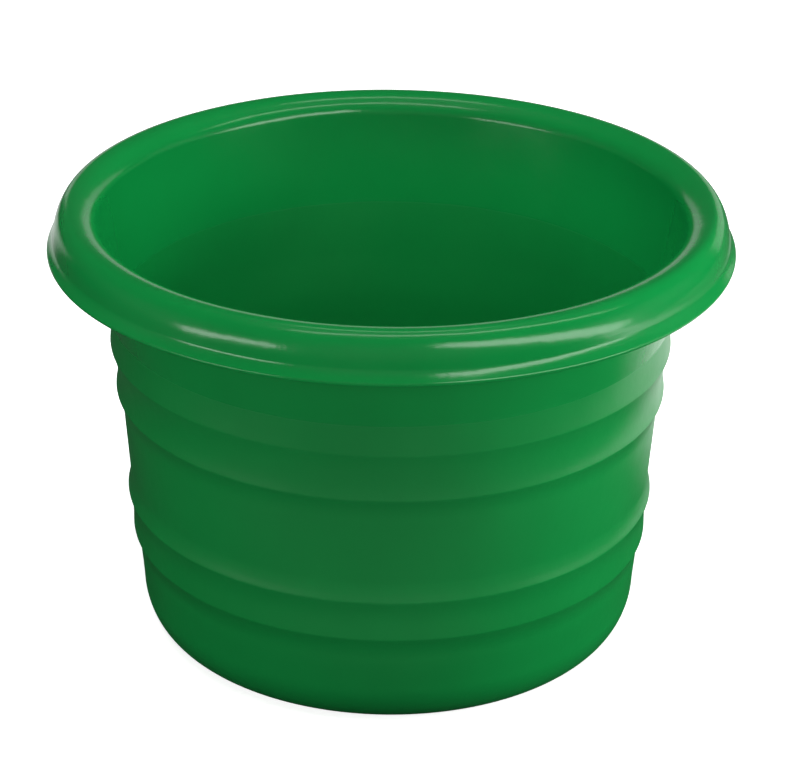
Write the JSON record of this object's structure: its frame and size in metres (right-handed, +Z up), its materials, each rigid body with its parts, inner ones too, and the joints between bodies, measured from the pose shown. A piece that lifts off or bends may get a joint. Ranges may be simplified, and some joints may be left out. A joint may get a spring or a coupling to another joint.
{
  "type": "florist bucket",
  "caption": "Round open plastic bucket with a tapered, hooped wall and a broad turned-over rim; holds water with cut flowers, or a potted plant.",
  "frame": {"origin": "centre of the standing face, on the floor", "axes": "+Z up along the bucket's axis; X and Y are interchangeable, because every zone is a body of revolution"},
  "size_m": [0.3, 0.3, 0.2],
  "materials": {
    "green_plastic": "glossy moulded polypropylene, slightly rippled"
  },
  "bodies": {
    "root": {"foot_ring": "green_plastic", "base": "green_plastic", "heel": "green_plastic", "corner": "green_plastic", "lower_wall": "green_plastic", "hoop_1": "green_plastic", "hoop_2": "green_plastic", "middle_wall": "green_plastic", "hoop_3": "green_plastic", "hoop_4": "green_plastic", "upper_wall": "green_plastic", "rim_inner": "green_plastic", "rim_outer": "green_plastic", "rim_lip": "green_plastic"}
  },
  "joints": []
}
